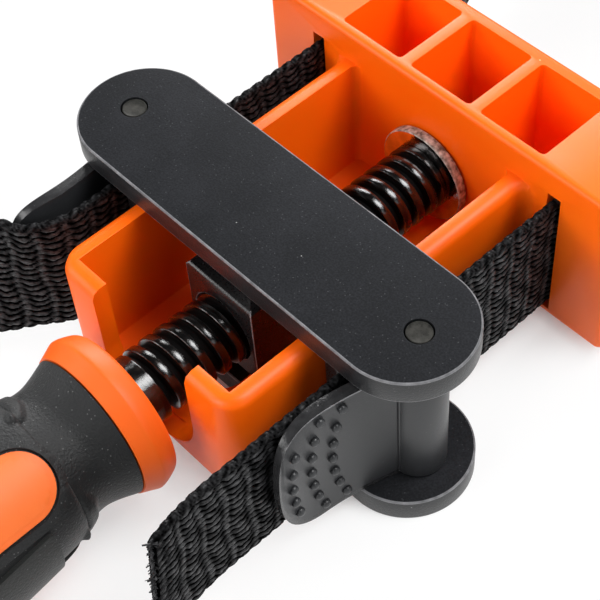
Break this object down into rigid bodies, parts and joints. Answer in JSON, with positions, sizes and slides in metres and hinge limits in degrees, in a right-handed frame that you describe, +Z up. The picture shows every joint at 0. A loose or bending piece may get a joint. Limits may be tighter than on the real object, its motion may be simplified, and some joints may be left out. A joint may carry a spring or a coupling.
{
  "type": "ratchet band clamp",
  "caption": "Band clamp: a screw with a grip handle draws a traveller along an orange frame and tightens a webbing strap, held by cam levers, whose loop passes through the slotted head.",
  "frame": {"origin": "middle of the bottom plate's underside, on which the clamp lies", "axes": "+X along the screw from the handle to the head, +Y towards the left lever, +Z up"},
  "size_m": [0.264, 0.2093, 0.0365],
  "materials": {
    "orange_plastic": "smooth satin-gloss moulded plastic",
    "black_plastic": "fine grained, pale worn edges",
    "black_nylon": "semi-gloss moulded nylon",
    "oiled_steel": "blackened and oiled",
    "bright_steel": "polished, scuffed at the rim",
    "grey_steel": "dull grey",
    "rubber": "soft, finely speckled",
    "webbing": "woven black webbing"
  },
  "bodies": {
    "frame": {"frame": "orange_plastic", "thrust_washer": "bright_steel", "inner_washer": "grey_steel"},
    "screw": {"lead_screw": "oiled_steel", "handle_core": "orange_plastic", "handle_grip": "rubber", "handle_end_cap": "orange_plastic", "handle_cross_pin": "grey_steel", "retaining_clip": "grey_steel"},
    "traveller": {"bottom_plate": "black_plastic", "top_plate": "black_plastic", "nut_block": "black_nylon", "anvil_left": "black_nylon", "anvil_right": "black_nylon", "pivot_pin_left": "grey_steel", "pivot_pin_right": "grey_steel", "strap_right": "webbing", "strap_loop": "webbing", "strap_left": "webbing", "strap_tail": "webbing", "strap_roll": "webbing"},
    "lever_left": {"cam_lever_left": "black_nylon"},
    "lever_right": {"cam_lever_right": "black_nylon"}
  },
  "joints": [
    {"name": "screw_turn", "type": "hinge", "parent": "frame", "child": "screw", "pos_m": [0, 0, 0.0184], "axis": [1, 0, 0], "range_deg": [-2520, 1416]},
    {"name": "traveller_slide", "type": "slide", "parent": "frame", "child": "traveller", "axis": [1, 0, 0], "range_m": [-0.01181, 0.02101]},
    {"name": "cam_lever_left_turn", "type": "hinge", "parent": "traveller", "child": "lever_left", "pos_m": [0, 0.0313, 0.0181], "axis": [0, 0, -1], "range_deg": [0, 65]},
    {"name": "cam_lever_right_turn", "type": "hinge", "parent": "traveller", "child": "lever_right", "pos_m": [0, -0.0313, 0.0181], "axis": [0, 0, 1], "range_deg": [0, 75]}
  ],
  "couplings": [
    {"joint": "traveller_slide", "follows": "screw_turn", "m_per_rad": -0.00047746}
  ]
}
